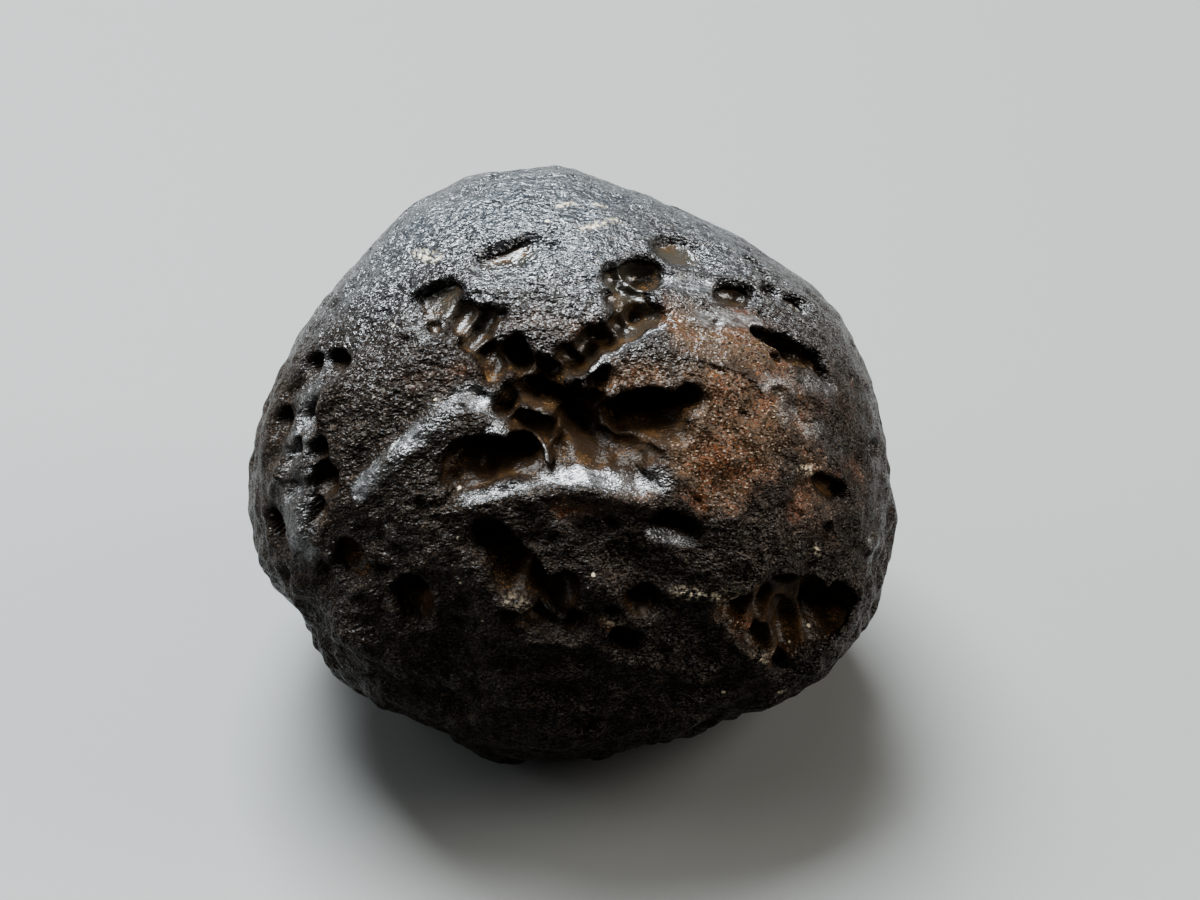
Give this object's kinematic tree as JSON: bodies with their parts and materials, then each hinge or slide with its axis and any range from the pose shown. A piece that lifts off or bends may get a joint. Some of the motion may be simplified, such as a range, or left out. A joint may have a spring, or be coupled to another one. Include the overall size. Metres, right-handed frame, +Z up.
{
  "type": "tektite",
  "caption": "Rounded pebble of dark natural glass with an etched, bubble-pitted and grooved skin, resting on a small flat spot.",
  "frame": {"origin": "on the resting surface, under the middle of the stone's outer box", "axes": "+Z up from the flat resting spot, +X along the stone's greatest width, and the deeply pitted face looks towards -Y and up"},
  "size_m": [0.0278, 0.0264, 0.0247],
  "materials": {
    "tektite_glass": "near-black natural glass with a fine-grained satin skin, smooth pits and a dull red-brown cast on one shoulder"
  },
  "bodies": {
    "root": {"tektite": "tektite_glass"}
  },
  "joints": []
}
